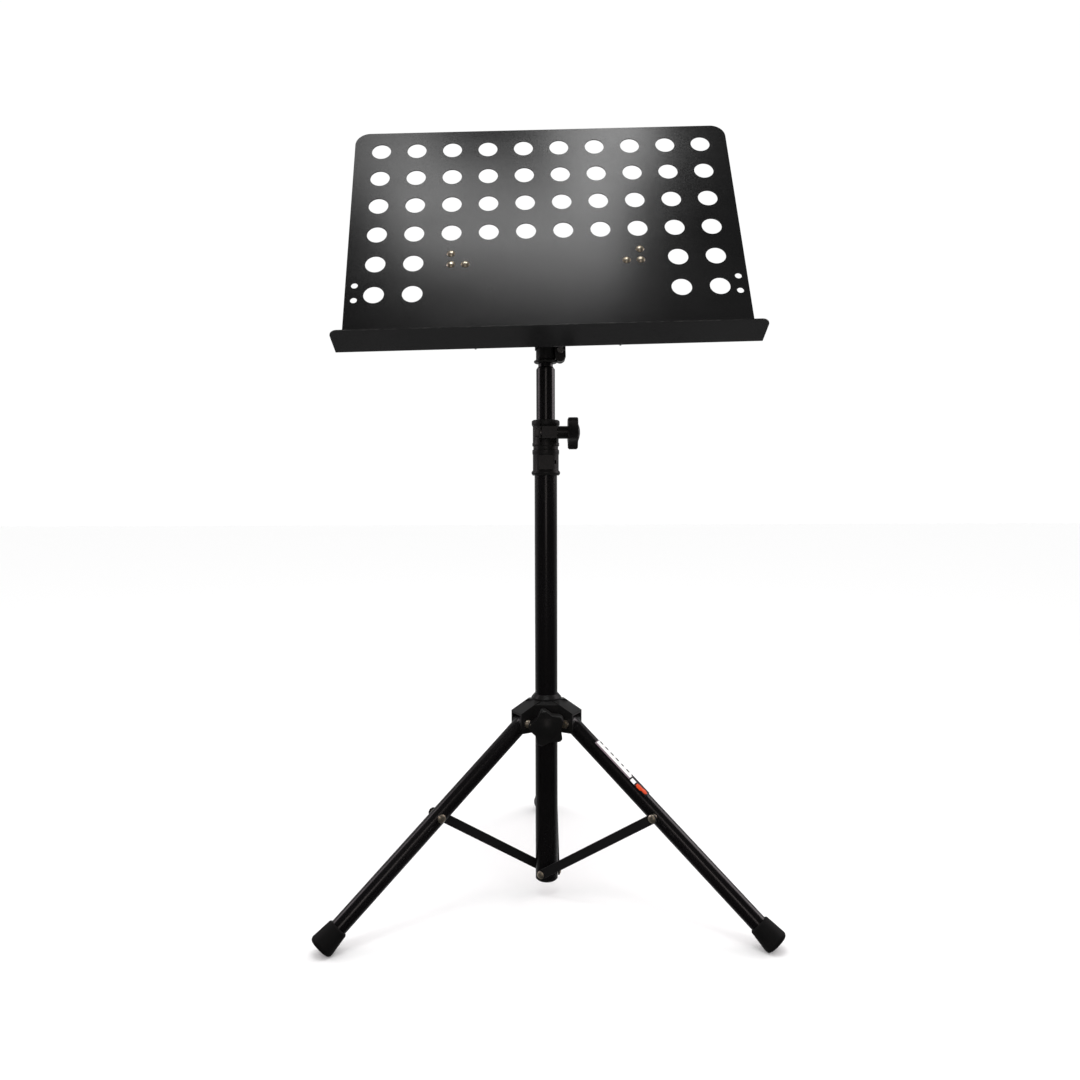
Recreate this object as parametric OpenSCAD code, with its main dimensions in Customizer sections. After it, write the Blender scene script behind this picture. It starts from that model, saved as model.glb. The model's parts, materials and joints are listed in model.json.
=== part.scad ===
// Folding music stand: a sheet-metal desk on a two-part mast, carried by a
// three-leg base that folds up along the lower tube like an umbrella.
// Every piece is drawn in the open, ready-to-use position.

/* [Lower tube] */
// Outer diameter of the lower tube
column_d = 28; // [25:0.5:34]
// Wall of the lower tube
column_wall = 1.5; // [1:0.1:2.5]
// Height of the lower tube's bottom end above the floor
column_bottom = 21; // [17:1:27]
// Height of the lower tube's top end above the floor
column_top = 551; // [440:1:680]

/* [Mast] */
// Outer diameter of the telescoping mast
mast_d = 23; // [20:0.1:24]
// Wall of the mast
mast_wall = 1.5; // [1:0.1:2.5]
// Length of the mast inside the lower tube
mast_inside = 446; // [300:1:500]
// Exposed length of the mast from the lower tube's end to its shoulder
mast_exposed = 108; // [90:1:300]
// Diameter of the necked end that carries the head
neck_d = 18; // [12:0.5:19]
// Length of the necked end
neck_length = 20; // [14:1:30]

/* [Height clamp] */
// Wall of the fixed sleeve around the lower tube
sleeve_wall = 2; // [1.5:0.1:4]
// Height of the fixed sleeve below the lower tube's end
sleeve_below = 22; // [16:1:40]
// Height of the fixed sleeve above the lower tube's end
sleeve_above = 9.6; // [6:0.2:20]
// Open ring between the sleeve and the clamp collar
collar_gap = 4.3; // [2:0.1:8]
// Height of the clamp collar
collar_h = 32; // [26:1:45]
// Width of the slit that lets the collar close
collar_slit = 1.2; // [1:0.1:3]

/* [Knobs] */
// Across the tips of the five-lobe knobs
knob_d = 41; // [34:1:50]
// Thickness of a knob's lobed head
knob_h = 12; // [9:0.5:18]
// Diameter of a knob's neck
knob_neck_d = 15.4; // [12:0.2:18]
// Diameter of the clamping screws
screw_d = 6; // [5:0.5:8]

/* [Legs] */
// Outer diameter of a leg
leg_d = 20; // [16:0.5:24]
// Wall of a leg
leg_wall = 1.2; // [0.8:0.1:2]
// Lean of an open leg away from the vertical, in degrees
leg_spread = 50; // [40:1:56]
// Distance of a leg pivot from the column's axis
pivot_reach = 33.9; // [31:0.1:44]
// Height of the leg pivots above the floor
pivot_z = 224.5; // [195:0.5:295]
// Diameter of the rubber feet at their tips
foot_d = 29.4; // [25:0.2:34]
// Length of the rubber feet
foot_length = 29; // [26:0.5:45]
// How deep the floor trims the tip of a foot
foot_flat = 1.5; // [1:0.1:2.5]

/* [Braces] */
// Width of a brace strip
brace_w = 11.2; // [9:0.2:14]
// Thickness of a brace strip
brace_t = 2; // [1.5:0.1:3]
// Distance along a leg from its pivot to the brace rivet
brace_on_leg = 150; // [110:1:180]
// Height of the lower brace rivets above the tube's bottom end
brace_up = 7.2; // [6:0.1:14]
// Shank diameter of the rivets
rivet_d = 5; // [4:0.2:6]
// Head diameter of the brace rivets
rivet_head_d = 10; // [8:0.5:11]

/* [Hub] */
// Height of the hub's arms at their outer ends
hub_end_h = 24.9; // [24.9:0.1:34]
// Wall of the hub beside a leg
hub_cheek = 2.3; // [1.5:0.1:4]
// Distance of an arm's outer face beyond the leg pivot
hub_beyond = 9.3; // [6:0.1:12]
// Depth of the hub below the leg pivots
hub_below = 11.5; // [10:0.5:16]

/* [Desk] */
// Width of the desk plate
desk_w = 480; // [380:5:600]
// Height of the desk plate from fold to top edge
desk_h = 342; // [318:1:420]
// Thickness of the sheet metal
sheet_t = 1.2; // [1:0.1:2]
// Depth of the ledge that holds the music
ledge_depth = 41; // [25:1:70]
// How much wider than the plate the ledge is, at each side
ledge_extra = 5; // [0:0.5:10]
// Corner radius at the top of the plate
plate_corner = 19; // [5:1:30]
// Corner radius at the front of the ledge
ledge_corner = 10; // [3:1:20]
// Inside radius of the fold
fold_r = 2; // [1:0.5:4]
// Lean of the desk back from the vertical, in degrees
desk_tilt = 26.4; // [10:0.1:45]
// Sideways lean of the head's barrel and the desk, in degrees
desk_lean = 1.5; // [0:0.1:2]
// Distance from the tilt axis to the face of the plate
stand_off = 54; // [48:1:70]
// Distance from the tilt axis down to the fold, along the plate
fold_below = 48.4; // [40:0.2:60]
// How far the desk sits to the right on its bar
desk_side = 3; // [0:0.5:6]

/* [Desk holes] */
// Diameter of the holes in the plate
hole_d = 24.5; // [16:0.5:30]
// Spacing of the holes, both ways
hole_pitch = 45.7; // [38:0.1:46]
// Distance of the first row of holes below the top edge
hole_top = 32; // [26:1:36]
// Diameter of the small side holes
side_hole_d = 8.2; // [5:0.1:10]

/* [Tilt head] */
// Height of the tilt axis above the shoulder of the mast
tilt_rise = 34.7; // [31:0.1:50]
// Outer diameter of the head's socket
socket_d = 23.4; // [21:0.2:28]
// Diameter of the tilt bar
bar_d = 12; // [10:0.5:14]
// Outer diameter of the barrel that grips the bar
barrel_d = 23; // [20:0.5:26]
// Distance from the mast's axis to the middle of the pinch lugs
lug_x = 17.5; // [16:0.5:22]
// Width of the pinch lugs
lug_w = 13; // [11:0.5:16]
// Diameter of the pinch bolt
pinch_d = 5; // [4:0.5:6]

/* [Brackets] */
// Thickness of the stamped brackets
bracket_t = 2; // [1.5:0.1:3]
// Distance from the middle of the desk to a bracket's ear
ear_x = 88; // [60:1:90]
// Diameter of the domed desk rivets
dome_d = 10.5; // [8:0.5:12]

/* [Fits] */
// Radial clearance of pins, shafts and screws in their bores
running = 0.05; // [0.02:0.01:0.1]
// Gap between faces that move past each other
face_gap = 0.3; // [0.2:0.05:0.5]
// Gap around a leg inside the hub
leg_gap = 0.5; // [0.4:0.1:1]

/* [Hidden] */
$fn = 64;

// Directions of the legs, seen from above
RIGHT = -30;
LEFT = 210;
REAR = 90;
LEGS = [RIGHT, LEFT, REAR];

column_r = column_d / 2;
column_bore_r = column_r - column_wall;
mast_r = mast_d / 2;
leg_r = leg_d / 2;
foot_r = foot_d / 2;
screw_r = screw_d / 2;
rivet_r = rivet_d / 2;

// Feet: the tip is a rounded disc that the floor trims flat
foot_edge = 5;
foot_ring = foot_r - foot_edge;
foot_low = foot_ring * sin(leg_spread) + foot_edge - foot_flat;
foot_tip = (pivot_z - foot_low) / cos(leg_spread) + foot_edge;
foot_start = foot_tip - foot_length;
foot_floor = 6;

// The model's origin is on the floor, half-way between the front and rear feet
tip_reach = pivot_reach + (foot_tip - foot_edge) * sin(leg_spread) + foot_ring * cos(leg_spread);
reach_rear = tip_reach + foot_edge;
reach_front = tip_reach * sin(-RIGHT) + foot_edge + foot_ring * 0.13;
column_y = -(reach_rear - reach_front) / 2;

// Braces lie flat against the column, one beside each leg's plane
brace_in = column_r + face_gap;
brace_out = brace_in + brace_t;
brace_z = column_bottom + brace_up;
brace_dx = pivot_reach + brace_on_leg * sin(leg_spread);
brace_dz = pivot_z - brace_on_leg * cos(leg_spread) - brace_z;
brace_length = sqrt(brace_dx * brace_dx + brace_dz * brace_dz);
brace_rise = atan2(brace_dz, brace_dx);

// Height clamp, stacked on the end of the lower tube
sleeve_r = column_r + sleeve_wall;
sleeve_bottom = column_top - sleeve_below;
sleeve_top = column_top + sleeve_above;
collar_bottom = sleeve_top + collar_gap;
collar_top = collar_bottom + collar_h;
bush_top = collar_top - 2;
boss_y = -(column_r + screw_r + 2.5);
boss_z = collar_bottom + collar_h / 2 - 0.2;
boss_h = 14.6;
boss_front = 6;
boss_left = -8.6;
boss_right = 13.7;
slit_x = -6;
clamp_nut_w = 9.5;
clamp_nut_t = 5.5;
height_neck = 12.5;

// Mast
shoulder_z = column_top + mast_exposed;
shoulder_h = 3.5;
neck_z = shoulder_z + shoulder_h;
mast_bottom = column_top - mast_inside;

// Tilt head
tilt_z = shoulder_z + tilt_rise;
socket_bottom = neck_z + 4;
bar_r = bar_d / 2;
barrel_r = barrel_d / 2;
lug_r = lug_w / 2;
lug_z = -23.4;
bolt_z = -12.8;
lug_depth = 20;
lug_slit = 3;
pinch_nut_w = 8;
pinch_nut_t = 4;
handle_length = 22;
handle_w = 10;
handle_t = 9;
handle_neck = 5;

// Hub
hub_bottom = pivot_z - hub_below;
hub_reach = pivot_reach + hub_beyond;
arm_half = leg_r + face_gap + hub_cheek;
slot_half = leg_r + face_gap;
slot_in = pivot_reach - leg_r - leg_gap;
hub_flat = slot_in;
hub_flat_half = (hub_flat * cos(30) - arm_half) / sin(30) + 0.3;
hub_rim_r = column_r + 4.2;
hub_rim_z = hub_bottom + hub_end_h + 12.4;
roof_under = pivot_z + leg_r + leg_gap;
roof_slope = 0.71;
hub_running = running + 0.03;
pivot_nut_w = 9;
pivot_nut_t = 4;
insert_r = 4.5;
insert_h = hub_flat - column_r - 2;
hub_knob_d = knob_d + 4;
hub_knob_h = knob_h + 4;
hub_neck = 11;

// Leg ends: an eye on the pivot with a plug that fills the top of the tube
leg_eye_r = leg_r - 0.2;
leg_tube_start = leg_r + 1;
leg_tube_end = foot_tip - foot_floor;
plug_depth = 24;

// One point of a star knob, from valley to tip: angle from the point's middle, and
// distance from the knob's axis as a share of its diameter
KNOB_POINT = [[-36, 0.365], [-10, 0.465], [-4, 0.5], [4, 0.5], [10, 0.465]];

// How far a screw stands out past its nut, and how far its thread enters a knob
screw_past = 0.5;
stud_depth = 0.6;

// Desk, in its own frame: origin on the tilt axis, +Z up the plate, -Y in front
plate_front = -stand_off;
plate_back = plate_front + sheet_t;
fold_z = -fold_below;
plate_top = fold_z + desk_h;
ledge_w = desk_w + 2 * ledge_extra;
ledge_front = plate_front - ledge_depth;
first_row = plate_top - hole_top;
columns_right = [0.5, 1.5, 2.5, 3.5, 4.5];
outer_columns = [3.5, 4.5];
rivet_spots = [[114.5, 91.8], [114.5, 75.3], [97.3, 75.3]];
flange_out = 123;
flange_top = 101;
flange_bottom = 65;

// ---- placing ----

module at_column() {
  translate([0, column_y, 0]) children();
}

module in_desk_frame() {
  at_column()
    translate([0, 0, tilt_z])
      rotate([-desk_tilt, -desk_lean, 0])
        translate([desk_side, 0, 0]) children();
}

// Head frame: like the desk frame, but upright and centred on the mast
module in_head_frame() {
  at_column()
    translate([0, 0, tilt_z])
      rotate([0, -desk_lean, 0]) children();
}

// Leg plane: +X points away from the column, +Y points sideways
module in_leg_plane(azimuth) {
  at_column() rotate([0, 0, azimuth]) children();
}

// Leg frame: origin on the pivot, +Z runs down the leg, +Y is the pivot's axis
module along_leg(azimuth) {
  in_leg_plane(azimuth)
    translate([pivot_reach, 0, pivot_z])
      rotate([0, 180 - leg_spread, 0]) children();
}

// Brace frame: origin on the lower rivet, +X runs up the strip, +Y is the rivet's
// axis pointing from the strip's outer face towards the leg
module along_brace(azimuth) {
  in_leg_plane(azimuth)
    translate([0, 0, brace_z])
      rotate([0, -brace_rise, 0]) children();
}

// ---- shared shapes ----

module tube(r_out, r_in, z0, z1) {
  difference() {
    translate([0, 0, z0]) cylinder(r = r_out, h = z1 - z0);
    translate([0, 0, z0 - 1]) cylinder(r = r_in, h = z1 - z0 + 2);
  }
}

module rod_y(r, y0, y1) {
  translate([0, y1, 0]) rotate([90, 0, 0]) cylinder(r = r, h = y1 - y0);
}

module rod_x(r, x0, x1) {
  translate([x0, 0, 0]) rotate([0, 90, 0]) cylinder(r = r, h = x1 - x0);
}

// Hexagonal nut or bolt head along +Z from z = 0
module hexagon(across, h) {
  cylinder(r = across / 2 / cos(30), h = h, $fn = 6);
}

// Low dome along +Z: a flat base of the given diameter with a rounded cap
module dome(d, h) {
  cap_r = (d * d / 4 + h * h) / (2 * h);
  intersection() {
    translate([0, 0, h - cap_r]) sphere(r = cap_r);
    cylinder(r = d, h = h);
  }
}

// Outline of a five-point knob: blunt points with straight flanks down to shallow valleys
module star_outline(d) {
  polygon([
    for (k = [0:4], corner = KNOB_POINT)
      d * corner[1] * [cos(90 + 72 * k + corner[0]), sin(90 + 72 * k + corner[0])]
  ]);
}

// Knob head along +Z: neck from z = 0, then the lobed head with a low dome
module star_knob(d, neck_h, head_h, hole_r, turn) {
  edge = 1.6;
  over = 0.3;
  rim_r = d / 2 + over;
  rim_edge = edge + over;
  dome_h = 2.8;
  dome_base = d * 0.56;
  head_z = neck_h;
  difference() {
    union() {
      cylinder(r = knob_neck_d / 2, h = neck_h + 1);
      intersection() {
        translate([0, 0, head_z]) rotate(turn) linear_extrude(head_h) star_outline(d);
        rotate_extrude() polygon([
          [0, head_z], [d / 2 - edge, head_z], [rim_r, head_z + rim_edge],
          [rim_r, head_z + head_h - rim_edge], [d / 2 - edge, head_z + head_h],
          [0, head_z + head_h]
        ]);
      }
      translate([0, 0, head_z + head_h]) dome(dome_base, dome_h);
    }
    translate([0, 0, -1]) cylinder(r = hole_r, h = neck_h + head_h * stud_depth + 1);
  }
}

// Rivet along +Y with its shank from y0 to y1 and domed heads outside them
module rivet(shank_r, head_d, head_h, y0, y1, low_head, high_head) {
  rod_y(shank_r, y0, y1);
  if (high_head) translate([0, y1, 0]) rotate([-90, 0, 0]) dome(head_d, head_h);
  if (low_head) translate([0, y0, 0]) rotate([90, 0, 0]) dome(head_d, head_h);
}

// ---- lower tube and base ----

module column_tube() {
  color([0.09, 0.085, 0.09]) at_column()
    difference() {
      tube(column_r, column_bore_r, column_bottom, column_top);
      for (azimuth = LEGS)
        rotate([0, 0, azimuth]) translate([0, 0, brace_z]) rod_y(rivet_r, -column_d, 0);
    }
}

module base_plug() {
  lip = 1.5;
  plug_h = 3;
  color([0.06, 0.06, 0.06]) at_column()
    rotate_extrude() polygon([
      [0, column_bottom - plug_h], [column_r - lip, column_bottom - plug_h],
      [column_r, column_bottom - plug_h + lip], [column_r, column_bottom],
      [column_bore_r, column_bottom], [column_bore_r, brace_z - rivet_r - 1],
      [column_bore_r - 2, brace_z - rivet_r - 1], [column_bore_r - 2, column_bottom],
      [0, column_bottom]
    ]);
}

module base_rivets() {
  color([0.72, 0.66, 0.55]) at_column()
    for (azimuth = LEGS)
      rotate([0, 0, azimuth]) translate([0, 0, brace_z])
        rivet(rivet_r, rivet_head_d, 2, -brace_out, -column_bore_r, true, false);
}

// ---- height clamp ----

module column_sleeve() {
  flange_r = sleeve_r + 1.7;
  band_r = sleeve_r + 0.6;
  pad_w = 17.8;
  pad_h = 17.3;
  pad_z = sleeve_bottom + 7.3;
  window_w = 2.2;
  window_h = 4.8;
  window_x = 10.4;
  window_z = sleeve_bottom + 13.8;
  color([0.07, 0.07, 0.075]) at_column()
    difference() {
      union() {
        rotate_extrude() polygon([
          [column_r, sleeve_bottom], [flange_r - 1.5, sleeve_bottom],
          [flange_r, sleeve_bottom + 2], [flange_r, sleeve_bottom + 4.2],
          [sleeve_r, sleeve_bottom + 6.4], [sleeve_r, sleeve_top - 6],
          [band_r, sleeve_top - 5], [band_r, sleeve_top - 0.6],
          [band_r - 0.6, sleeve_top], [column_r, sleeve_top]
        ]);
        translate([-pad_w / 2, -band_r, pad_z]) cube([pad_w, band_r - column_r / 2, pad_h]);
      }
      cylinder(r = column_r + running, h = sleeve_top + 1);
      translate([window_x, -sleeve_r - 1, window_z])
        cube([window_w, sleeve_r + 1 - column_r / 2, window_h]);
    }
}

// Slotted bush that the collar squeezes on the mast, with a ring under the collar
module clutch_bush() {
  slot_w = 3;
  slots = 6;
  slot_low = collar_bottom + 1;
  ring_r = sleeve_r - 0.6;
  color([0.06, 0.06, 0.062]) at_column()
    difference() {
      union() {
        tube(column_r, mast_r + running, column_top, bush_top);
        tube(ring_r, mast_r + running, sleeve_top, collar_bottom);
      }
      for (k = [0:slots - 1])
        rotate([0, 0, (k + 0.5) * 360 / slots])
          translate([mast_r - 1, -slot_w / 2, slot_low])
            cube([column_r, slot_w, bush_top - slot_low + 1]);
    }
}

module clamp_collar() {
  flange_r = sleeve_r + 1.3;
  color([0.07, 0.07, 0.075]) at_column()
    difference() {
      union() {
        rotate_extrude() polygon([
          [column_r, collar_bottom], [sleeve_r + 0.2, collar_bottom],
          [sleeve_r + 0.6, collar_bottom + 0.6], [sleeve_r + 0.6, collar_bottom + 3.6],
          [sleeve_r, collar_bottom + 4.6], [sleeve_r, collar_top - 8],
          [flange_r, collar_top - 5.8], [flange_r, collar_top - 1.5],
          [flange_r - 1.5, collar_top], [mast_r + 0.8, collar_top],
          [mast_r + 0.8, bush_top], [column_r, bush_top]
        ]);
        translate([boss_left, boss_y - boss_front, boss_z - boss_h / 2])
          cube([boss_right - boss_left, boss_front - boss_y - column_r / 2, boss_h]);
      }
      cylinder(r = column_r + running, h = bush_top);
      translate([slit_x - collar_slit / 2, -column_d, collar_bottom - 1])
        cube([collar_slit, column_d, collar_h + 2]);
      translate([0, boss_y, boss_z]) rod_x(screw_r + running, boss_left - 1, boss_right + 1);
    }
}

module clamp_nut() {
  color([0.1, 0.1, 0.1]) at_column()
    translate([0, boss_y, boss_z])
      difference() {
        translate([boss_left - clamp_nut_t, -clamp_nut_w / 2, -clamp_nut_w / 2])
          cube([clamp_nut_t, clamp_nut_w, clamp_nut_w]);
        rod_x(screw_r + running, boss_left - clamp_nut_t - 1, boss_left + 1);
      }
}

module in_height_knob() {
  at_column() translate([boss_right + face_gap, boss_y, boss_z]) rotate([0, 90, 0]) children();
}

module height_knob_head() {
  color([0.05, 0.05, 0.05]) in_height_knob()
    star_knob(knob_d, height_neck, knob_h, screw_r, 270);
}

module height_knob_stud() {
  stud_end = height_neck + knob_h * stud_depth;
  stud_start = -(boss_right - boss_left + face_gap + clamp_nut_t + screw_past);
  color([0.62, 0.62, 0.6]) in_height_knob()
    translate([0, 0, stud_start]) cylinder(r = screw_r, h = stud_end - stud_start);
}

// ---- mast ----

module mast_tube() {
  neck_r = neck_d / 2;
  color([0.1, 0.092, 0.1]) at_column()
    rotate_extrude() polygon([
      [mast_r - mast_wall, mast_bottom], [mast_r, mast_bottom], [mast_r, shoulder_z],
      [neck_r, neck_z], [neck_r, neck_z + neck_length - 1], [neck_r - 1, neck_z + neck_length],
      [neck_r - mast_wall, neck_z + neck_length], [neck_r - mast_wall, neck_z],
      [mast_r - mast_wall, shoulder_z - 1]
    ]);
}

module mast_bush() {
  bush_h = 26;
  floor_t = 2;
  color([0.75, 0.74, 0.7]) at_column()
    difference() {
      translate([0, 0, mast_bottom - floor_t])
        cylinder(r = column_bore_r - running, h = bush_h + floor_t);
      translate([0, 0, mast_bottom]) cylinder(r = mast_r, h = bush_h + 1);
    }
}

// ---- tilt head ----

module head_clamp() {
  neck_r = neck_d / 2;
  socket_r = socket_d / 2;
  rim_r = socket_r + 2.5;
  lug_low = lug_z + lug_r / 2;
  slit_in = socket_r + 0.8;
  barrel_left = -socket_r - 1.5;
  barrel_right = lug_x + lug_r;
  color([0.06, 0.06, 0.062])
    difference() {
      union() {
        at_column()
          rotate_extrude() polygon([
            [0, socket_bottom], [rim_r - 1, socket_bottom], [rim_r, socket_bottom + 1],
            [rim_r, socket_bottom + 2.6], [socket_r, socket_bottom + 4.4],
            [socket_r, tilt_z], [0, tilt_z]
          ]);
        in_head_frame() {
          rod_x(barrel_r, barrel_left, barrel_right);
          translate([0, lug_depth / 2, 0]) rotate([90, 0, 0]) linear_extrude(lug_depth) {
            translate([lug_x, lug_low]) circle(r = lug_r);
            translate([lug_x - lug_r, lug_low]) square([lug_w, -lug_low]);
          }
        }
      }
      at_column() translate([0, 0, socket_bottom - 1])
        cylinder(r = neck_r + running, h = neck_z + neck_length + 0.5 - socket_bottom + 1);
      in_head_frame() {
        rod_x(bar_r + running, barrel_left - 1, barrel_right + 1);
        translate([slit_in, -lug_slit / 2, lug_z - lug_w])
          cube([2 * lug_w, lug_slit, lug_w - lug_z]);
        translate([lug_x, 0, bolt_z]) rod_y(pinch_d / 2 + running, -lug_depth, lug_depth);
      }
    }
}

module pinch_nut() {
  color([0.7, 0.7, 0.68]) in_head_frame()
    translate([lug_x, -lug_depth / 2, bolt_z]) rotate([90, 0, 0])
      difference() {
        hexagon(pinch_nut_w, pinch_nut_t);
        translate([0, 0, -1]) cylinder(r = pinch_d / 2 + running, h = pinch_nut_t + 2);
      }
}

module in_tilt_knob() {
  in_head_frame()
    translate([lug_x, lug_depth / 2 + face_gap, bolt_z]) rotate([-90, 0, 0]) children();
}

// Short T-handle that stands upright behind the lugs when the head is clamped
module tilt_knob_head() {
  end_r = handle_w / 2;
  end_at = handle_length / 2 - end_r;
  color([0.05, 0.05, 0.05]) in_tilt_knob()
    difference() {
      union() {
        cylinder(r = end_r, h = handle_neck + 1);
        translate([0, 0, handle_neck])
          linear_extrude(handle_t) {
            translate([-end_r, -end_at]) square([handle_w, 2 * end_at]);
            for (side = [-1, 1])
              translate([0, side * end_at]) circle(r = end_r);
          }
      }
      translate([0, 0, -1])
        cylinder(r = pinch_d / 2, h = handle_neck + handle_t * stud_depth + 1);
    }
}

module tilt_knob_stud() {
  stud_end = handle_neck + handle_t * stud_depth;
  stud_start = -(lug_depth + face_gap + pinch_nut_t + screw_past);
  color([0.7, 0.7, 0.68]) in_tilt_knob()
    translate([0, 0, stud_start]) cylinder(r = pinch_d / 2, h = stud_end - stud_start);
}

// ---- desk ----

// Plate seen from the front, from the top of the fold to the top edge
module plate_outline() {
  low = fold_z + fold_r + sheet_t;
  half = desk_w / 2;
  difference() {
    union() {
      translate([-half, low]) square([desk_w, plate_top - plate_corner - low]);
      translate([-half + plate_corner, plate_top - plate_corner])
        square([desk_w - 2 * plate_corner, plate_corner]);
      for (side = [-1, 1])
        translate([side * (half - plate_corner), plate_top - plate_corner])
          circle(r = plate_corner);
    }
    for (side = [-1, 1]) {
      for (row = [0:3], column = columns_right)
        translate([side * column * hole_pitch, first_row - row * hole_pitch])
          circle(d = hole_d);
      for (row = [4, 5], column = outer_columns)
        translate([side * column * hole_pitch, first_row - row * hole_pitch])
          circle(d = hole_d);
      for (up = [47.3, 25.8])
        translate([side * (half - 11), up]) circle(d = side_hole_d);
      for (spot = rivet_spots)
        translate([side * spot[0], spot[1]]) circle(r = rivet_r);
    }
  }
}

// Ledge seen from above, from its front edge back to the fold
module ledge_outline() {
  half = ledge_w / 2;
  back = plate_front - fold_r;
  union() {
    translate([-half, ledge_front + ledge_corner])
      square([ledge_w, back - ledge_front - ledge_corner]);
    translate([-half + ledge_corner, ledge_front])
      square([ledge_w - 2 * ledge_corner, ledge_corner + 0.01]);
    for (side = [-1, 1])
      translate([side * (half - ledge_corner), ledge_front + ledge_corner])
        circle(r = ledge_corner);
  }
}

module desk_plate() {
  bend_out = fold_r + sheet_t;
  color([0.1, 0.1, 0.1]) in_desk_frame() {
    translate([0, plate_back, 0]) rotate([90, 0, 0]) linear_extrude(sheet_t) plate_outline();
    translate([0, 0, fold_z]) linear_extrude(sheet_t) ledge_outline();
    translate([-ledge_w / 2, plate_front - fold_r, fold_z + bend_out])
      rotate([90, 0, 90]) linear_extrude(ledge_w)
        intersection() {
          difference() {
            circle(r = bend_out);
            circle(r = fold_r);
          }
          translate([0, -bend_out]) square(bend_out);
        }
  }
}

// Stamped bracket on the +X side: a riveted flange and an ear that holds the bar
module bracket() {
  ear_r = bar_r + 2;
  tip = [-ear_r * 0.62, ear_r * 0.786];
  difference() {
    union() {
      translate([ear_x, plate_back + bracket_t, flange_bottom]) rotate([90, 0, 0])
        linear_extrude(bracket_t) {
          corner = 6;
          wide = flange_out - ear_x;
          tall = flange_top - flange_bottom;
          square([wide - corner, tall]);
          translate([0, corner]) square([wide, tall - 2 * corner]);
          for (up = [corner, tall - corner])
            translate([wide - corner, up]) circle(r = corner);
        }
      translate([ear_x, 0, 0]) rotate([90, 0, 90]) linear_extrude(bracket_t) {
        circle(r = ear_r);
        polygon([
          [plate_back, flange_bottom - 14], [tip[0] - 4, -tip[1] - 1], [0, -ear_r],
          [ear_r, 0], [ear_r * 0.7, ear_r * 0.714], [-14, 44],
          [plate_back + 12, flange_top - 8], [plate_back, flange_top]
        ]);
      }
    }
    rod_x(bar_r, ear_x - 1, ear_x + bracket_t + 1);
    for (spot = rivet_spots)
      translate([spot[0], 0, spot[1]]) rod_y(rivet_r, plate_back - 1, plate_back + bracket_t + 1);
    translate([ear_x - 1, -27, 42]) rod_x(7, 0, bracket_t + 2);
  }
}

module bracket_right() {
  color([0.09, 0.09, 0.09]) in_desk_frame() bracket();
}

module bracket_left() {
  color([0.09, 0.09, 0.09]) in_desk_frame() mirror([1, 0, 0]) bracket();
}

// Bar with a peened head outside each ear
module tilt_bar() {
  head_r = bar_r + 1.2;
  head_h = 2.5;
  end = ear_x + bracket_t;
  color([0.55, 0.55, 0.54]) in_desk_frame() {
    rod_x(bar_r, -end, end);
    rotate([0, 90, 0]) translate([0, 0, end]) dome(2 * head_r, head_h);
    rotate([0, -90, 0]) translate([0, 0, end]) dome(2 * head_r, head_h);
  }
}

module desk_rivets() {
  color([0.72, 0.66, 0.55]) in_desk_frame()
    for (side = [-1, 1], spot = rivet_spots)
      translate([side * spot[0], 0, spot[1]])
        rivet(rivet_r, dome_d, 2.4, plate_front, plate_back + bracket_t, true, true);
}

// ---- hub ----

// One sector of the hub: a prism with a roof that slopes down and away
module hub_sector(half_width, reach, end_z) {
  rotate([90, 0, 0])
    translate([0, 0, -half_width])
      linear_extrude(2 * half_width)
        polygon([
          [0, hub_bottom], [reach, hub_bottom], [reach, end_z],
          [hub_rim_r, hub_rim_z], [0, hub_rim_z]
        ]);
}

// Channel for a leg, open below and at its outer end
module leg_slot() {
  translate([slot_in, -slot_half, hub_bottom - 1])
    cube([hub_reach + 1 - slot_in, 2 * slot_half, roof_under - hub_bottom + 1]);
}

module hub_body() {
  flat_end_z = hub_rim_z - (hub_flat - hub_rim_r) * roof_slope;
  bore_r = column_r + hub_running;
  rim_out = hub_rim_r + 0.6;
  rim_band = 1.8;
  rim_top = hub_rim_z + 6.2;
  color([0.075, 0.072, 0.075]) at_column()
    difference() {
      union() {
        for (azimuth = LEGS) rotate([0, 0, azimuth]) {
          hub_sector(arm_half, hub_reach, hub_bottom + hub_end_h);
          rotate([0, 0, 180]) hub_sector(hub_flat_half, hub_flat, flat_end_z);
        }
        rotate_extrude() polygon([
          [0, hub_rim_z - 3], [hub_rim_r, hub_rim_z - 3], [rim_out, hub_rim_z],
          [rim_out, hub_rim_z + rim_band], [bore_r + 1, rim_top], [0, rim_top]
        ]);
      }
      cylinder(r = bore_r, h = rim_top + 1);
      for (azimuth = LEGS) rotate([0, 0, azimuth]) {
        leg_slot();
        translate([pivot_reach, 0, pivot_z]) rod_y(screw_r + running, -arm_half - 1, arm_half + 1);
      }
      translate([0, 0, pivot_z]) rod_y(insert_r, -hub_flat - 1, -hub_flat + insert_h);
      translate([0, 0, pivot_z]) rod_y(screw_r + running, -hub_flat, 0);
    }
}

module hub_insert() {
  color([0.75, 0.62, 0.35]) at_column()
    translate([0, 0, pivot_z])
      difference() {
        rod_y(insert_r, -hub_flat, -hub_flat + insert_h);
        rod_y(screw_r + running, -hub_flat - 1, -hub_flat + insert_h + 1);
      }
}

// Bolts through the hub's arms: round head on one side, thread for the nut on the other
module pivot_bolts() {
  color([0.72, 0.7, 0.64])
    for (azimuth = LEGS) in_leg_plane(azimuth)
      translate([pivot_reach, 0, pivot_z]) {
        rod_y(screw_r, -arm_half - pivot_nut_t - screw_past, arm_half);
        translate([0, arm_half, 0]) rotate([-90, 0, 0]) dome(10, 3);
      }
}

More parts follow.
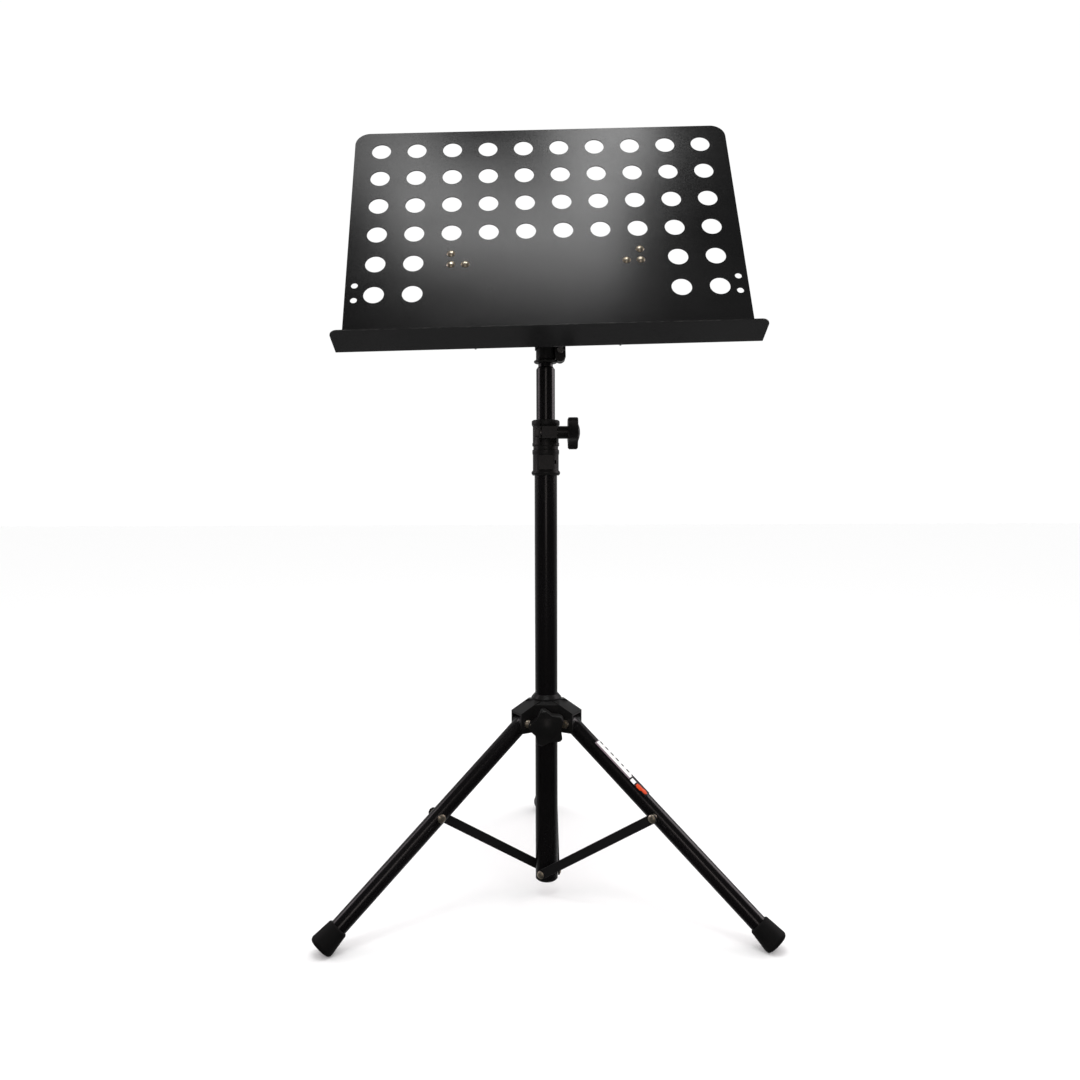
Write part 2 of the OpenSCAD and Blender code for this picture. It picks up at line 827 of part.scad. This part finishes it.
module pivot_nuts() {
  color([0.72, 0.7, 0.64])
    for (azimuth = LEGS) in_leg_plane(azimuth)
      translate([pivot_reach, -arm_half, pivot_z]) rotate([90, 0, 0])
        difference() {
          hexagon(pivot_nut_w, pivot_nut_t);
          translate([0, 0, -1]) cylinder(r = screw_r + running, h = pivot_nut_t + 2);
        }
}

module in_hub_knob() {
  at_column() translate([0, -hub_flat - face_gap, pivot_z]) rotate([90, 0, 0]) children();
}

module hub_knob_head() {
  color([0.05, 0.05, 0.05]) in_hub_knob()
    star_knob(hub_knob_d, hub_neck, hub_knob_h, screw_r, 14);
}

module hub_knob_stud() {
  stud_end = hub_neck + hub_knob_h * stud_depth;
  stud_start = -(hub_flat - column_r);
  color([0.62, 0.62, 0.6]) in_hub_knob()
    translate([0, 0, stud_start]) cylinder(r = screw_r, h = stud_end - stud_start);
}

// ---- legs ----

module leg_tube(azimuth) {
  color([0.1, 0.092, 0.1])
    difference() {
      along_leg(azimuth) tube(leg_r, leg_r - leg_wall, leg_tube_start, leg_tube_end);
      along_leg(azimuth) translate([0, 0, brace_on_leg]) rod_y(rivet_r, -leg_d, leg_d);
    }
}

module leg_end(azimuth) {
  color([0.06, 0.06, 0.06]) along_leg(azimuth)
    difference() {
      union() {
        rod_y(leg_eye_r, -leg_r, leg_r);
        cylinder(r = leg_r, h = leg_tube_start);
        translate([0, 0, leg_tube_start]) cylinder(r = leg_r - leg_wall, h = plug_depth);
      }
      rod_y(screw_r + running, -leg_d, leg_d);
    }
}

module foot(azimuth) {
  neck_r = leg_r + 2.3;
  neck_edge = 1.5;
  color([0.04, 0.04, 0.042])
    difference() {
      along_leg(azimuth)
        difference() {
          rotate_extrude() {
            polygon([
              [0, foot_start], [neck_r - neck_edge, foot_start],
              [neck_r, foot_start + neck_edge], [foot_r, foot_tip - foot_edge],
              [foot_ring, foot_tip - foot_edge], [foot_ring, foot_tip], [0, foot_tip]
            ]);
            translate([foot_ring, foot_tip - foot_edge]) circle(r = foot_edge);
          }
          translate([0, 0, foot_start - 1])
            cylinder(r = leg_r + running, h = leg_tube_end - foot_start + 1);
        }
      in_leg_plane(azimuth)
        translate([tip_reach - 2 * foot_d, -foot_d, -foot_d])
          cube([4 * foot_d, 2 * foot_d, foot_d]);
    }
}

// Rivet through a leg, with a spacer that reaches towards the brace strip
module leg_rivet(azimuth) {
  spacer_r = rivet_r + 1.5;
  rim_t = 0.5;
  color([0.72, 0.66, 0.55]) along_leg(azimuth)
    translate([0, 0, brace_on_leg]) {
      rod_y(rivet_r, -leg_r - 1, leg_r + rim_t);
      difference() {
        union() {
          rod_y(spacer_r, -brace_in + face_gap, 0);
          rod_y(rivet_head_d / 2, 0, leg_r + rim_t);
          translate([0, leg_r + rim_t, 0]) rotate([-90, 0, 0]) dome(rivet_head_d, 1.6);
        }
        translate([0, 0, -leg_d]) cylinder(r = leg_r + running, h = 2 * leg_d);
      }
    }
}

// ---- braces ----

module brace_strip(azimuth) {
  color([0.085, 0.08, 0.085]) along_brace(azimuth)
    translate([0, -brace_in, 0]) rotate([90, 0, 0])
      linear_extrude(brace_t)
        difference() {
          union() {
            translate([0, -brace_w / 2]) square([brace_length, brace_w]);
            circle(d = brace_w);
            translate([brace_length, 0]) circle(d = brace_w);
          }
          circle(r = rivet_r + running);
          translate([brace_length, 0]) circle(r = rivet_r);
        }
}

module brace_rivet(azimuth) {
  color([0.72, 0.66, 0.55]) along_brace(azimuth)
    translate([brace_length, 0, 0])
      rivet(rivet_r, rivet_head_d, 2, -brace_out, -brace_in, true, false);
}

module leg_tube_right() { leg_tube(RIGHT); }
module leg_tube_left() { leg_tube(LEFT); }
module leg_tube_rear() { leg_tube(REAR); }
module leg_end_right() { leg_end(RIGHT); }
module leg_end_left() { leg_end(LEFT); }
module leg_end_rear() { leg_end(REAR); }
module foot_right() { foot(RIGHT); }
module foot_left() { foot(LEFT); }
module foot_rear() { foot(REAR); }
module leg_rivet_right() { leg_rivet(RIGHT); }
module leg_rivet_left() { leg_rivet(LEFT); }
module leg_rivet_rear() { leg_rivet(REAR); }
module brace_strip_right() { brace_strip(RIGHT); }
module brace_strip_left() { brace_strip(LEFT); }
module brace_strip_rear() { brace_strip(REAR); }
module brace_rivet_right() { brace_rivet(RIGHT); }
module brace_rivet_left() { brace_rivet(LEFT); }
module brace_rivet_rear() { brace_rivet(REAR); }

column_tube();
base_plug();
base_rivets();
column_sleeve();
clutch_bush();
clamp_collar();
clamp_nut();
mast_tube();
mast_bush();
head_clamp();
pinch_nut();
tilt_knob_head();
tilt_knob_stud();
desk_plate();
bracket_left();
bracket_right();
tilt_bar();
desk_rivets();
height_knob_head();
height_knob_stud();
hub_body();
hub_insert();
pivot_bolts();
pivot_nuts();
hub_knob_head();
hub_knob_stud();
leg_tube_right();
leg_end_right();
foot_right();
leg_rivet_right();
leg_tube_left();
leg_end_left();
foot_left();
leg_rivet_left();
leg_tube_rear();
leg_end_rear();
foot_rear();
leg_rivet_rear();
brace_strip_right();
brace_rivet_right();
brace_strip_left();
brace_rivet_left();
brace_strip_rear();
brace_rivet_rear();
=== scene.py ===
import json
import math

import bmesh
import bpy
from mathutils import Matrix, Vector


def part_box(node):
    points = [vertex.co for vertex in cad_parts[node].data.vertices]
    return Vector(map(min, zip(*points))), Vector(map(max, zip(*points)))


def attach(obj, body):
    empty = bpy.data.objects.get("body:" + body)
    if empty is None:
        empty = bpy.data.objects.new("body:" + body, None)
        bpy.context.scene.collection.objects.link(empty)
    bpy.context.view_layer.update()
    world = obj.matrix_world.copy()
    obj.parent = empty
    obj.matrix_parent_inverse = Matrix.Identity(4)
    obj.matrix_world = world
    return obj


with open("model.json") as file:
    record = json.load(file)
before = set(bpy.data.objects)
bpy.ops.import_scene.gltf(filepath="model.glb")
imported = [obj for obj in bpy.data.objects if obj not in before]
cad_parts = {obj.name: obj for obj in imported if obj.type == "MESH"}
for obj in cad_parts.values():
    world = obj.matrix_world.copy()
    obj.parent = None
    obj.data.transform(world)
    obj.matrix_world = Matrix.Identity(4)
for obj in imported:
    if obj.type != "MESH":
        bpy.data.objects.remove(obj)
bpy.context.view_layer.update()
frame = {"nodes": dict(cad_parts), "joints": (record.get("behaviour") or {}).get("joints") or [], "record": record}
nodes = frame["nodes"]

# Lengths are in metres and angles in radians, in the frame of the part.

# ---------------------------------------------------------------- camera and light

CAMERA_PLACE = (-0.020, -1.1335, 0.509)
CAMERA_PITCH = math.radians(-3.24)
CAMERA_YAW = math.radians(-0.68)
CAMERA_ROLL = math.radians(0.16)
SENSOR = 36.0
LENS = 28.46

# What the lights point at
PLATE = (0, -0.05, 0.85)
COLUMN = (0, -0.07, 0.6)

# Room brightness: even for soft light, but from dark in front to bright behind in reflections
ROOM = 1.02
FRONT = 0.016
BEHIND = 0.42
# Where that change starts and ends, as the Y of the reflected direction
DARK_UNTIL = -0.1
BRIGHT_FROM = 1.0

FLOOR_HALF = 12.0


def make_camera():
    data = bpy.data.cameras.new("camera")
    data.sensor_width = SENSOR
    data.lens = LENS
    camera = bpy.data.objects.new("camera", data)
    turn = (
        Matrix.Rotation(CAMERA_YAW, 4, "Z")
        @ Matrix.Rotation(math.pi / 2 + CAMERA_PITCH, 4, "X")
        @ Matrix.Rotation(-CAMERA_ROLL, 4, "Z")
    )
    camera.matrix_world = Matrix.Translation(CAMERA_PLACE) @ turn
    bpy.context.scene.collection.objects.link(camera)
    bpy.context.scene.camera = camera


def area_light(name, place, target, size, power, colour=(1, 1, 1)):
    data = bpy.data.lights.new(name, "AREA")
    data.shape = "RECTANGLE"
    data.size, data.size_y = size
    data.energy = power
    data.color = colour
    light = bpy.data.objects.new(name, data)
    light.location = place
    light.rotation_euler = (Vector(target) - Vector(place)).to_track_quat("-Z", "Y").to_euler()
    bpy.context.scene.collection.objects.link(light)


def make_lights():
    """Three panels overhead light the plate; one at each side and one in front streak the tubes."""
    area_light("overhead_wide", (-0.1, -0.6, 2.3), PLATE, size=(0.7, 0.26), power=4.85)
    area_light("overhead_right", (0.17, -0.36, 2.3), PLATE, size=(0.26, 0.26), power=2.4)
    area_light("overhead_left", (-0.45, -0.35, 2.3), PLATE, size=(0.25, 0.3), power=1.0)
    area_light(
        "side_left", (-1.6, 0.1, 1.15), COLUMN, size=(0.6, 1.0), power=4.2, colour=(1.0, 0.88, 0.93)
    )
    area_light(
        "side_right", (1.6, 0.25, 1.15), COLUMN, size=(0.9, 1.0), power=7.2, colour=(1.0, 0.9, 0.93)
    )
    area_light(
        "front_strip", (0.02, -2.2, 0.85), COLUMN, size=(0.3, 1.1), power=2.0, colour=(1.0, 0.89, 0.86)
    )


def make_world():
    """A white room that looks darker in reflections than it is for soft light."""
    world = bpy.data.worlds.new("studio")
    world.use_nodes = True
    tree = world.node_tree
    tree.nodes.clear()
    direction = node(tree, "ShaderNodeTexCoord")
    split = node(tree, "ShaderNodeSeparateXYZ")
    tree.links.new(direction.outputs["Generated"], split.inputs["Vector"])
    reflected = remap(tree, split.outputs["Y"], FRONT, BEHIND, DARK_UNTIL, BRIGHT_FROM)
    path = node(tree, "ShaderNodeLightPath")
    glossy = node(tree, "ShaderNodeMix", data_type="FLOAT")
    tree.links.new(path.outputs["Is Glossy Ray"], glossy.inputs["Factor"])
    glossy.inputs["A"].default_value = ROOM
    tree.links.new(reflected, glossy.inputs["B"])
    light = node(tree, "ShaderNodeBackground")
    light.inputs["Color"].default_value = (1, 1, 1, 1)
    tree.links.new(glossy.outputs["Result"], light.inputs["Strength"])
    out = node(tree, "ShaderNodeOutputWorld")
    tree.links.new(light.outputs["Background"], out.inputs["Surface"])
    bpy.context.scene.world = world


def make_floor():
    """A white floor that the stand casts a soft shadow on, unseen in reflections."""
    mesh = bpy.data.meshes.new("floor")
    shape = bmesh.new()
    bmesh.ops.create_grid(shape, x_segments=1, y_segments=1, size=FLOOR_HALF)
    shape.to_mesh(mesh)
    shape.free()
    floor = bpy.data.objects.new("floor", mesh)
    bpy.context.scene.collection.objects.link(floor)
    material = new_material("floor_paint", (0.985, 0.985, 0.985), roughness=0.9, specular=0.1)[0]
    mesh.materials.append(material)
    floor.visible_glossy = False


# ---------------------------------------------------------------- shader nodes


def new_material(name, colour, roughness, metallic=0.0, specular=0.5, coat=0.0):
    material = bpy.data.materials.new(name)
    material.use_nodes = True
    tree = material.node_tree
    shader = tree.nodes["Principled BSDF"]
    shader.inputs["Base Color"].default_value = (*colour, 1)
    shader.inputs["Roughness"].default_value = roughness
    shader.inputs["Metallic"].default_value = metallic
    shader.inputs["Specular IOR Level"].default_value = specular
    shader.inputs["Coat Weight"].default_value = coat
    shader.inputs["Coat Roughness"].default_value = 0.12
    return material, tree, shader


def node(tree, kind, **values):
    made = tree.nodes.new(kind)
    for key, value in values.items():
        setattr(made, key, value)
    return made


def object_coordinates(tree, stretch=(1, 1, 1)):
    place = node(tree, "ShaderNodeTexCoord")
    mapping = node(tree, "ShaderNodeMapping")
    mapping.inputs["Scale"].default_value = stretch
    tree.links.new(place.outputs["Object"], mapping.inputs["Vector"])
    return mapping.outputs["Vector"]


def noise(tree, vector, scale, detail=3.0, rough=0.55):
    made = node(tree, "ShaderNodeTexNoise")
    made.inputs["Scale"].default_value = scale
    made.inputs["Detail"].default_value = detail
    made.inputs["Roughness"].default_value = rough
    tree.links.new(vector, made.inputs["Vector"])
    return made.outputs["Fac"]


def remap(tree, value, low, high, start=0.3, end=0.7):
    """Runs from low to high while the value runs from start to end."""
    made = node(tree, "ShaderNodeMapRange")
    made.inputs["From Min"].default_value = start
    made.inputs["From Max"].default_value = end
    made.inputs["To Min"].default_value = low
    made.inputs["To Max"].default_value = high
    tree.links.new(value, made.inputs["Value"])
    return made.outputs["Result"]


def mix_colour(tree, factor, first, second):
    """Mixes two colours, each a tuple or a socket."""
    made = node(tree, "ShaderNodeMix", data_type="RGBA")
    tree.links.new(factor, made.inputs["Factor"])
    for socket, colour in (("A", first), ("B", second)):
        target = [s for s in made.inputs if s.name == socket and s.type == "RGBA"][0]
        if isinstance(colour, tuple):
            target.default_value = (*colour, 1)
        else:
            tree.links.new(colour, target)
    return [s for s in made.outputs if s.type == "RGBA"][0]


def multiply(tree, first, second):
    """Multiplies two values, each a float or a socket."""
    made = node(tree, "ShaderNodeMath", operation="MULTIPLY")
    for k, value in enumerate((first, second)):
        if isinstance(value, float):
            made.inputs[k].default_value = value
        else:
            tree.links.new(value, made.inputs[k])
    return made.outputs[0]


def add(tree, first, second):
    made = node(tree, "ShaderNodeMath", operation="ADD")
    tree.links.new(first, made.inputs[0])
    tree.links.new(second, made.inputs[1])
    return made.outputs[0]


def bump(tree, shader, height, strength, distance):
    made = node(tree, "ShaderNodeBump")
    made.inputs["Strength"].default_value = strength
    made.inputs["Distance"].default_value = distance
    tree.links.new(height, made.inputs["Height"])
    tree.links.new(made.outputs["Normal"], shader.inputs["Normal"])


def edge_mask(tree, radius):
    """0 on open faces, rising to 1 on worn edges: the rounded normal parts from the real one there."""
    rounded = node(tree, "ShaderNodeBevel", samples=4)
    rounded.inputs["Radius"].default_value = radius
    surface = node(tree, "ShaderNodeNewGeometry")
    dot = node(tree, "ShaderNodeVectorMath", operation="DOT_PRODUCT")
    tree.links.new(rounded.outputs["Normal"], dot.inputs[0])
    tree.links.new(surface.outputs["Normal"], dot.inputs[1])
    patchy = noise(tree, object_coordinates(tree), scale=160.0, detail=4.0)
    edge = remap(tree, dot.outputs["Value"], 1.0, 0.0, start=0.72, end=0.98)
    return multiply(tree, edge, remap(tree, patchy, 0.0, 1.0, start=0.42, end=0.72))


# ---------------------------------------------------------------- materials

# Bare steel, where paint is rubbed thin
STEEL = (0.32, 0.31, 0.3)


def painted(name, colour, lighter, roughness, grain, grain_height, specular, wear, coat=0.0):
    """Painted steel: cloudy gloss, orange-peel grain and edges rubbed thin."""
    material, tree, shader = new_material(name, colour, roughness, 0.0, specular, coat)
    vector = object_coordinates(tree)
    cloud = noise(tree, vector, scale=9.0, detail=4.0)
    speck = noise(tree, vector, scale=grain * 0.6, detail=2.0)
    base = mix_colour(tree, remap(tree, cloud, 0.0, 1.0), colour, lighter)
    rub = multiply(tree, edge_mask(tree, radius=0.0008), wear)
    tree.links.new(mix_colour(tree, rub, base, STEEL), shader.inputs["Base Color"])
    gloss = add(
        tree,
        remap(tree, cloud, roughness * 0.88, roughness * 1.1),
        remap(tree, speck, -0.03, 0.03),
    )
    tree.links.new(gloss, shader.inputs["Roughness"])
    peel = noise(tree, vector, scale=grain, detail=2.0)
    bump(tree, shader, peel, strength=grain_height, distance=0.0002)
    return material


def moulded(name, colour, lighter, roughness, grain, grain_height, specular=0.4):
    """Moulded plastic or rubber: spark-eroded grain, cloudy sheen and slightly paler edges."""
    material, tree, shader = new_material(name, colour, roughness, 0.0, specular)
    vector = object_coordinates(tree)
    cloud = noise(tree, vector, scale=26.0, detail=3.0)
    base = mix_colour(tree, remap(tree, cloud, 0.0, 1.0), colour, lighter)
    rub = multiply(tree, edge_mask(tree, radius=0.0009), 0.5)
    pale = tuple(min(1.0, c * 2.6 + 0.01) for c in lighter)
    tree.links.new(mix_colour(tree, rub, base, pale), shader.inputs["Base Color"])
    sheen = remap(tree, cloud, roughness - 0.05, roughness + 0.06)
    tree.links.new(sheen, shader.inputs["Roughness"])
    eroded = noise(tree, vector, scale=grain, detail=3.0, rough=0.7)
    bump(tree, shader, eroded, strength=grain_height, distance=0.00025)
    return material


def plated(name, colour, darker, roughness):
    """Plated or turned metal: fine marks, small stains and a soft sheen."""
    material, tree, shader = new_material(name, colour, roughness, metallic=1.0)
    vector = object_coordinates(tree)
    stain = noise(tree, vector, scale=420.0, detail=4.0)
    stained = remap(tree, stain, 0.0, 1.0, start=0.4, end=0.75)
    tree.links.new(mix_colour(tree, stained, colour, darker), shader.inputs["Base Color"])
    tree.links.new(remap(tree, stain, roughness * 0.8, roughness * 1.5), shader.inputs["Roughness"])
    marks = noise(tree, object_coordinates(tree, stretch=(1, 1, 14)), scale=900.0, detail=2.0)
    bump(tree, shader, marks, strength=0.12, distance=0.0001)
    return material


def printed(name, colour, other, roughness=0.3):
    """Printed film: slightly uneven ink under a smooth face."""
    material, tree, shader = new_material(name, colour, roughness, 0.0, specular=0.4)
    vector = object_coordinates(tree)
    ink = remap(tree, noise(tree, vector, scale=300.0, detail=3.0), 0.0, 1.0)
    tree.links.new(mix_colour(tree, ink, colour, other), shader.inputs["Base Color"])
    film = noise(tree, vector, scale=90.0, detail=2.0)
    gloss = remap(tree, film, roughness - 0.05, roughness + 0.08)
    tree.links.new(gloss, shader.inputs["Roughness"])
    return material


# One material for each material slot of the record
MATERIALS = {
    "desk_paint": painted(
        "desk_paint", (0.006, 0.006, 0.0061), (0.0085, 0.0084, 0.0085),
        roughness=0.21, grain=1500.0, grain_height=0.08, specular=0.25, wear=0.35,
    ),
    "tube_paint": painted(
        "tube_paint", (0.0018, 0.0015, 0.0017), (0.003, 0.0025, 0.0028),
        roughness=0.25, grain=700.0, grain_height=0.02, specular=0.4, wear=0.2, coat=0.2,
    ),
    "strip_paint": painted(
        "strip_paint", (0.005, 0.0047, 0.005), (0.0075, 0.007, 0.0075),
        roughness=0.32, grain=900.0, grain_height=0.1, specular=0.35, wear=0.4,
    ),
    "black_plastic": moulded(
        "black_plastic", (0.0042, 0.004, 0.0039), (0.0062, 0.0059, 0.0057),
        roughness=0.36, grain=2600.0, grain_height=0.2, specular=0.32,
    ),
    "knob_plastic": moulded(
        "knob_plastic", (0.003, 0.0029, 0.0028), (0.0044, 0.0042, 0.004),
        roughness=0.34, grain=2200.0, grain_height=0.2, specular=0.36,
    ),
    "black_rubber": moulded(
        "black_rubber", (0.0026, 0.0025, 0.0025), (0.0042, 0.004, 0.004),
        roughness=0.6, grain=1700.0, grain_height=0.4, specular=0.2,
    ),
    "grey_nylon": moulded(
        "grey_nylon", (0.16, 0.15, 0.145), (0.22, 0.21, 0.2),
        roughness=0.42, grain=1200.0, grain_height=0.15,
    ),
    "zinc_steel": plated("zinc_steel", (0.8, 0.8, 0.77), (0.5, 0.5, 0.48), roughness=0.42),
    "warm_nickel": plated("warm_nickel", (0.86, 0.78, 0.64), (0.55, 0.45, 0.3), roughness=0.32),
    "brass": plated("brass", (0.74, 0.56, 0.28), (0.45, 0.32, 0.15), roughness=0.25),
}


# ---------------------------------------------------------------- CAD nodes

# Edge rounding of each kind of piece
ROUNDING = {
    "desk_paint": 0.00035,
    "tube_paint": 0.00025,
    "strip_paint": 0.0004,
    "black_plastic": 0.0006,
    "knob_plastic": 0.0009,
    "black_rubber": 0.0008,
    "grey_nylon": 0.00025,
    "zinc_steel": 0.00025,
    "warm_nickel": 0.0002,
    "brass": 0.00015,
}
# Edges sharper than this are rounded
SHARP = math.radians(38)
SAME_POINT = 0.00001


def soften(piece, width):
    """Rounds the sharp edges of a CAD node for the eye; its own vertices stay as they are."""
    mesh = piece.data
    mesh.polygons.foreach_set("use_smooth", [True] * len(mesh.polygons))
    weld = piece.modifiers.new("weld", "WELD")
    weld.merge_threshold = SAME_POINT
    bevel = piece.modifiers.new("round", "BEVEL")
    bevel.width = width
    bevel.segments = 2
    bevel.limit_method = "ANGLE"
    bevel.angle_limit = SHARP
    bevel.use_clamp_overlap = True
    normals = piece.modifiers.new("normals", "WEIGHTED_NORMAL")
    normals.mode = "FACE_AREA"
    normals.weight = 70


def finish_cad_nodes():
    slots = {part["node"]: part["material_slot"] for part in frame["record"]["subparts"]}
    for name, piece in nodes.items():
        piece.data.materials.clear()
        piece.data.materials.append(MATERIALS[slots[name]])
        soften(piece, ROUNDING[slots[name]])


# ---------------------------------------------------------------- label on the right leg

# "Along" is the distance down the leg from its pivot, and "around" runs 0 to 1 across the label
LABEL_TOP = 0.041
LABEL_BAND_END = 0.0995
LABEL_MARK = 0.1085
LABEL_END = 0.127
# Half the angle that the label covers on the tube, and how far it stands off the tube
LABEL_HALF = math.radians(38)
LABEL_LIFT = 0.0001
LABEL_ROWS = 90
LABEL_COLUMNS = 20

# Mauve-grey painted shade along the two sides of the upper band, where the tube turns away from the light; the
# same ink runs along its top
SHADE_NEAR = 0.16
SHADE_FAR = 0.08
EDGE_TOP = 0.0012
# Dashes in the upper band: their pitch along, and the share of it and of the width that they fill
DASH_PITCH = 0.009
DASH_ALONG = (0.3, 0.82)
DASH_AROUND = (0.52, 0.8)
# Small block between the band and the marks
BLOCK_ALONG = (LABEL_BAND_END + 0.0018, LABEL_MARK - 0.0008)
BLOCK_AROUND = (0.02, 0.34)
# Rounded marks: middle along, middle around, half-length along, half-width around
MARKS = ((0.1145, 0.2, 0.0052, 0.22), (0.1215, 0.28, 0.0042, 0.2))

# Inks of the label; the second is a mauve-grey painted shade, not a print colour
WHITE, PAINTED_SHADE, ORANGE, DARK = range(4)


def within(value, limits):
    return limits[0] < value < limits[1]


def label_ink(along, around):
    """Which ink is at a place on the label."""
    if along < LABEL_BAND_END:
        # Mauve-grey painted shade along the band's sides and top
        if around < SHADE_NEAR or around > 1 - SHADE_FAR or along - LABEL_TOP < EDGE_TOP:
            return PAINTED_SHADE
        dash = (along - LABEL_TOP) / DASH_PITCH % 1
        return DARK if within(dash, DASH_ALONG) and within(around, DASH_AROUND) else WHITE
    if along < LABEL_MARK:
        return WHITE if within(along, BLOCK_ALONG) and within(around, BLOCK_AROUND) else DARK
    for middle, side, half_length, half_width in MARKS:
        if ((along - middle) / half_length) ** 2 + ((around - side) / half_width) ** 2 < 1:
            return ORANGE
    return DARK


def leg_radius(pivot, down):
    """Largest distance of the right leg tube's vertices from its axis."""
    far = 0.0
    for vertex in nodes["leg_tube_right"].data.vertices:
        arm = vertex.co - pivot
        far = max(far, (arm - down * arm.dot(down)).length)
    return far


def label_surface():
    """Points, faces and inks of a patch that follows the upper side of the right leg."""
    joint = [j for j in frame["joints"] if j["name"] == "leg_right_fold"][0]
    pivot = Vector(joint["pos_m"])
    across = Vector(joint["axis"]).normalized()
    low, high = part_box("foot_right")
    down = (low + high) / 2 - pivot
    down = (down - across * down.dot(across)).normalized()
    up = across.cross(down)
    if up.z < 0:
        up = -up
    radius = leg_radius(pivot, down) + LABEL_LIFT
    step = (LABEL_END - LABEL_TOP) / LABEL_ROWS
    points = []
    for i in range(LABEL_ROWS + 1):
        for j in range(LABEL_COLUMNS + 1):
            turn = LABEL_HALF * (2 * j / LABEL_COLUMNS - 1)
            out = up * math.cos(turn) + across * math.sin(turn)
            points.append(pivot + down * (LABEL_TOP + step * i) + out * radius)
    faces = []
    inks = []
    row = LABEL_COLUMNS + 1
    for i in range(LABEL_ROWS):
        for j in range(LABEL_COLUMNS):
            corner = i * row + j
            faces.append((corner, corner + 1, corner + row + 1, corner + row))
            inks.append(label_ink(LABEL_TOP + step * (i + 0.5), (j + 0.5) / LABEL_COLUMNS))
    return points, faces, inks


def make_label():
    """The sticker, with plain bands and marks in place of its print, and painted shade along the sides of its
    upper band.
    """
    points, faces, inks = label_surface()
    mesh = bpy.data.meshes.new("leg_label")
    mesh.from_pydata(points, [], faces)
    # In the order of white, the mauve-grey painted shade, orange and dark
    mesh.materials.append(printed("label_white", (0.82, 0.81, 0.8), (0.88, 0.87, 0.86)))
    # Mauve-grey painted shade for the upper band's sides and top
    mesh.materials.append(printed("label_painted_shade", (0.17, 0.13, 0.15), (0.21, 0.16, 0.185)))
    mesh.materials.append(printed("label_orange", (0.55, 0.04, 0.001), (0.64, 0.055, 0.002)))
    mesh.materials.append(printed("label_dark", (0.006, 0.0065, 0.008), (0.009, 0.01, 0.013)))
    mesh.polygons.foreach_set("material_index", inks)
    mesh.polygons.foreach_set("use_smooth", [True] * len(faces))
    label = bpy.data.objects.new("leg_label", mesh)
    bpy.context.scene.collection.objects.link(label)
    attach(label, "leg_right")


# ---------------------------------------------------------------- scene

make_camera()
make_world()
make_lights()
make_floor()
finish_cad_nodes()
make_label()

bpy.context.scene.view_settings.view_transform = "Standard"
bpy.context.view_layer.update()
